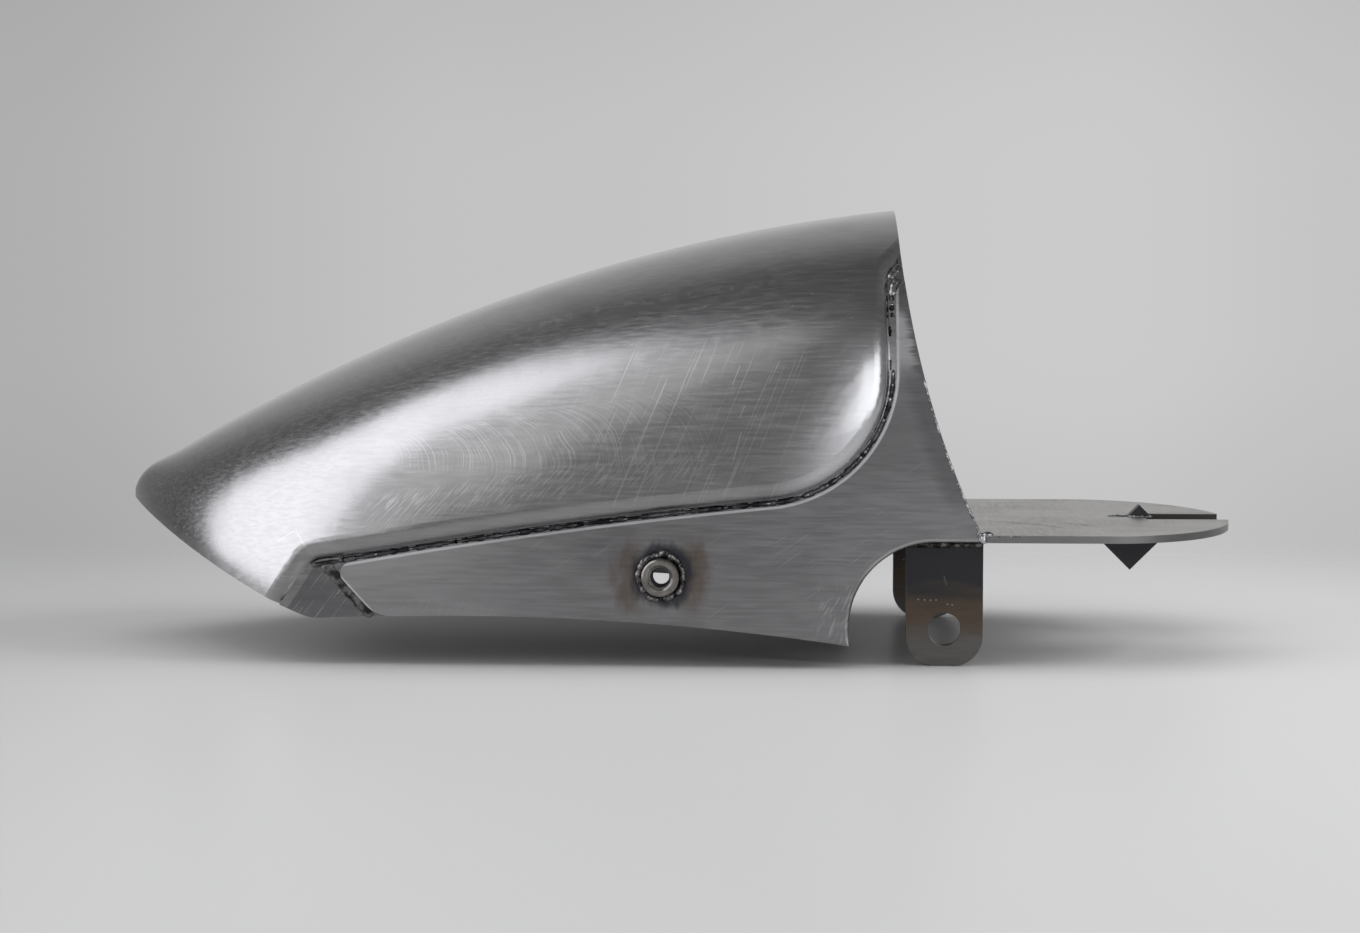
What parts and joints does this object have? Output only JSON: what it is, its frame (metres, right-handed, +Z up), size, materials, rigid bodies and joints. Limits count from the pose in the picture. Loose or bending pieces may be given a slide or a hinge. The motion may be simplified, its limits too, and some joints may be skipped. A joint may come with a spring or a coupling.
{
  "type": "motorcycle rear fender",
  "caption": "Bare-steel rear fender with a streamlined tail hump on side panels, a notched seat plate in front, hanging bolt lugs and welded threaded bungs.",
  "frame": {"origin": "midway between the two lugs, on the axis of their bolt holes", "axes": "+X to the front of the motorcycle, +Y to its left side, +Z up"},
  "size_m": [0.4623, 0.196, 0.181],
  "materials": {
    "hump_steel": "sanded bare steel",
    "panel_steel": "brushed bare steel, heat tint at the welds",
    "plate_steel": "brushed bare steel",
    "lug_steel": "dark mill scale",
    "bung_steel": "turned steel, heat tint"
  },
  "bodies": {
    "root": {"hump_shell": "hump_steel", "right_side_panel": "panel_steel", "left_side_panel": "panel_steel", "front_bulkhead": "panel_steel", "seat_plate": "plate_steel", "locating_tab": "lug_steel", "right_lug": "lug_steel", "left_lug": "lug_steel", "right_bung": "bung_steel", "left_bung": "bung_steel"}
  },
  "joints": []
}
